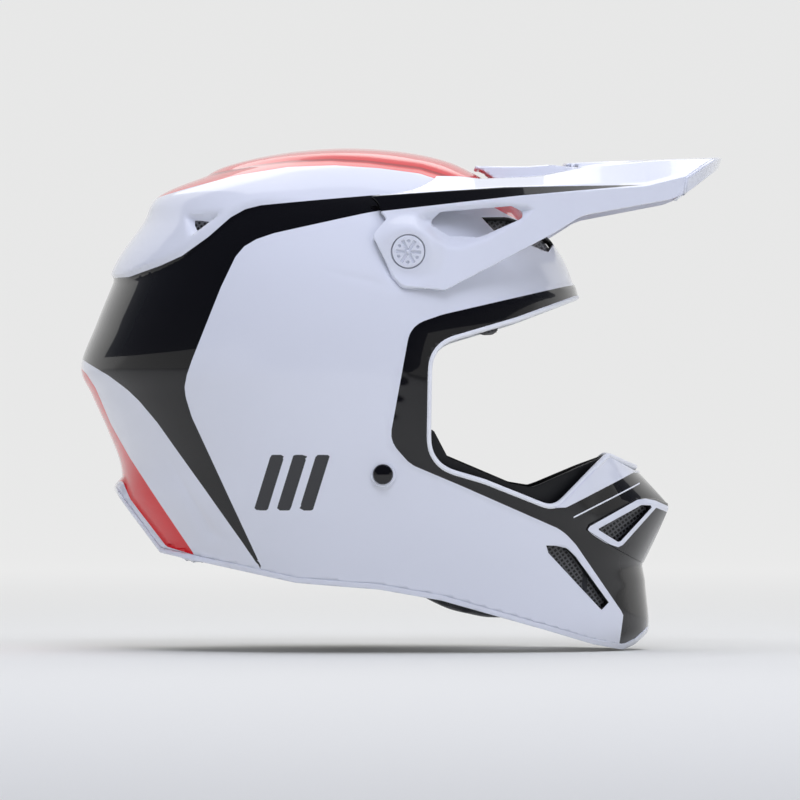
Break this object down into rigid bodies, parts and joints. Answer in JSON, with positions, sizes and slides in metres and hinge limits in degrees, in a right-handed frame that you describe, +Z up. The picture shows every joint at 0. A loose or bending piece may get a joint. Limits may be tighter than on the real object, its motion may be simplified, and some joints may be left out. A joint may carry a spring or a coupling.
{
  "type": "motocross helmet",
  "caption": "Full-face off-road helmet with an open eye port, a tilting peak held by side screws, a pointed mouth vent, padded lining and a double-ring chin strap.",
  "frame": {"origin": "under the middle of the bounding box, at the height of the chin bar's lowest point, the helmet level as on a head", "axes": "+X forward out of the eye port, +Y the rider's left, +Z up through the crown"},
  "size_m": [0.3728, 0.248, 0.291],
  "materials": {
    "white_gloss": "clear coated gloss",
    "black_gloss": "clear coated gloss",
    "white_piping": "satin",
    "black_rubber": "matte",
    "mesh": "moulded mesh",
    "foam": "bead foam",
    "lining": "knitted cloth",
    "webbing": "woven webbing",
    "steel": "plated"
  },
  "bodies": {
    "shell": {"outer_shell": "white_gloss", "base_trim": "black_rubber", "eyeport_trim": "white_piping", "nose_guard": "white_gloss", "mouth_fairing": "black_gloss", "mouth_grille_left": "mesh", "mouth_grille_right": "mesh", "side_vent_mesh_left": "mesh", "side_vent_mesh_right": "mesh", "brow_vent_mesh_left": "mesh", "brow_vent_mesh_right": "mesh", "rear_vent_mesh_left": "mesh", "rear_vent_mesh_right": "mesh", "crown_liner": "foam", "chin_liner": "foam", "cheek_foam_left": "foam", "cheek_foam_right": "foam", "crown_pad": "lining", "cheek_pad_left": "lining", "cheek_pad_right": "lining", "neck_roll": "lining", "visor_nut_left": "steel", "visor_nut_right": "steel", "strap_rivet_left": "black_gloss", "strap_rivet_right": "black_gloss"},
    "visor": {"visor": "white_gloss"},
    "screw_left": {"visor_screw_left": "white_gloss"},
    "screw_right": {"visor_screw_right": "white_gloss"},
    "chin_strap": {"strap_left": "webbing", "strap_right": "webbing", "d_ring_inner": "steel", "d_ring_outer": "steel", "strap_snap": "black_gloss"}
  },
  "joints": [
    {"name": "visor_tilt", "type": "hinge", "parent": "shell", "child": "visor", "pos_m": [0.0047, 0, 0.2305], "axis": [0, -1, 0], "range_deg": [-3, 6]},
    {"name": "visor_screw_left_turn", "type": "hinge", "parent": "shell", "child": "screw_left", "pos_m": [0.0047, 0.11, 0.2305], "axis": [0, 1, 0], "continuous": true},
    {"name": "visor_screw_right_turn", "type": "hinge", "parent": "shell", "child": "screw_right", "pos_m": [0.0047, -0.11, 0.2305], "axis": [0, -1, 0], "continuous": true},
    {"name": "chin_strap_swing", "type": "hinge", "parent": "shell", "child": "chin_strap", "pos_m": [-0.0098, 0, 0.1028], "axis": [0, 1, 0], "range_deg": [-9, 9]}
  ]
}
